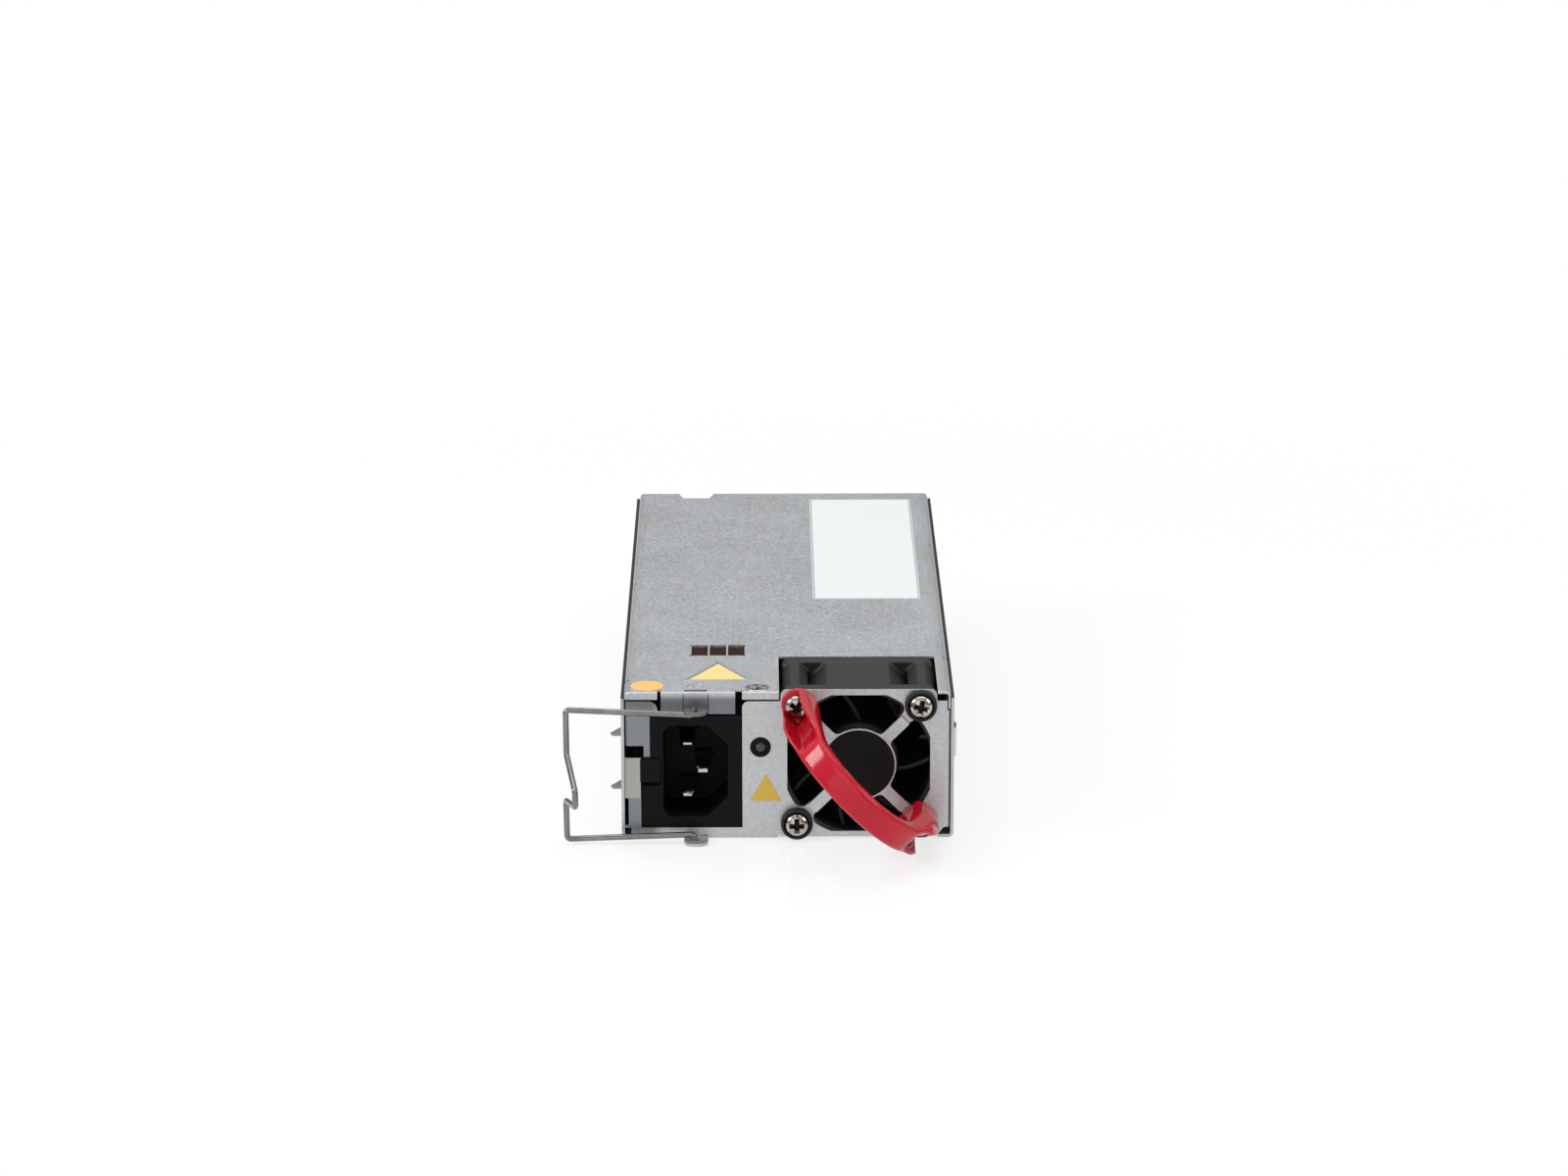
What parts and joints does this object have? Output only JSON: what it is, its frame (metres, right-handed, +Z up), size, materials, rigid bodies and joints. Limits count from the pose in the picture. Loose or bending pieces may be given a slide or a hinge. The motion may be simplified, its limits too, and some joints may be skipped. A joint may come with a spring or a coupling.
{
  "type": "hot swap server power supply",
  "caption": "Slim steel hot swap power supply with mains inlet, guarded fan, red strap handle, side latch, wire plug bail and rear edge connector.",
  "frame": {"origin": "centre of the underside, on the floor's outer face", "axes": "+X to the right seen from the front, +Y from the front face to the rear connector, +Z up"},
  "size_m": [0.1025, 0.237, 0.0409],
  "materials": {
    "zinc_steel": "galvanised sheet, fine mottled grain, semi-matt",
    "stainless": "bright spring steel",
    "nickel": "nickel plated, bright",
    "black_plastic": "moulded, slight sheen",
    "black_gloss": "moulded, glossy",
    "handle_red": "glossy port red",
    "rubber": "matt",
    "brown_film": "smooth insulating film",
    "clear_lens": "milky, clear",
    "contact_brass": "nickel plated brass",
    "gold": "thin gold plating",
    "board_green": "solder mask",
    "magnet": "matt dark grey",
    "copper": "enamelled copper",
    "ferrite": "matt ceramic",
    "can_sleeve": "shrink sleeve",
    "sink_alu": "extruded",
    "yellow_tape": "polyester tape",
    "blue_box": "moulded box",
    "lead_insulation": "wire insulation",
    "label_white": "satin paper label",
    "label_yellow": "satin label",
    "label_orange": "satin label",
    "label_black": "satin label"
  },
  "bodies": {
    "housing": {"board_screws": "nickel", "board_standoffs": "stainless", "boost_inductor": "copper", "bulk_capacitors": "can_sleeve", "chassis_tray": "zinc_steel", "choke_core": "ferrite", "choke_windings": "copper", "control_board": "board_green", "cover_insulator": "brown_film", "cover_label": "label_white", "cover_screw": "nickel", "edge_contacts": "gold", "fan_bearings": "stainless", "fan_bumpers": "rubber", "fan_frame": "black_plastic", "fan_plug": "label_white", "fan_screws": "nickel", "filter_board": "board_green", "filter_capacitors": "yellow_tape", "front_panel": "zinc_steel", "front_triangle_label": "label_yellow", "ground_spring": "stainless", "hub_label": "label_black", "inlet_housing": "black_plastic", "inlet_leads": "lead_insulation", "inlet_pins": "contact_brass", "latch_rivets": "nickel", "left_bracket": "zinc_steel", "light_bezel": "black_plastic", "light_board": "board_green", "light_pipe": "clear_lens", "main_board": "board_green", "mains_fuse": "black_gloss", "motor_board": "board_green", "orange_dot": "label_orange", "output_capacitors": "can_sleeve", "output_inductor": "copper", "primary_heatsink": "sink_alu", "rear_panel": "zinc_steel", "secondary_heatsink": "sink_alu", "standby_transformer": "yellow_tape", "stator_coils": "copper", "stator_core": "magnet", "strap_handle": "handle_red", "top_cover": "zinc_steel", "top_triangle_label": "label_yellow", "transformer_coil": "yellow_tape", "transformer_core": "ferrite"},
    "bail": {"wire_bail": "stainless"},
    "latch": {"latch_spring": "stainless"},
    "fan_rotor": {"fan_impeller": "black_plastic", "rotor_yoke": "stainless", "rotor_magnet": "magnet", "rotor_shaft": "stainless"}
  },
  "joints": [
    {"name": "bail_swing", "type": "hinge", "parent": "housing", "child": "bail", "pos_m": [-0.0239, -0.1006, 0], "axis": [0, 0, 1], "range_deg": [-5, 125]},
    {"name": "latch_flex", "type": "hinge", "parent": "housing", "child": "latch", "pos_m": [-0.04192, 0.001, 0.0165], "axis": [0, 0, 1], "range_deg": [0, 2.1], "stiffness_Nm_per_rad": 6},
    {"name": "fan_spin", "type": "hinge", "parent": "housing", "child": "fan_rotor", "pos_m": [0.0184, -0.086, 0.0203], "axis": [0, 1, 0], "continuous": true}
  ]
}
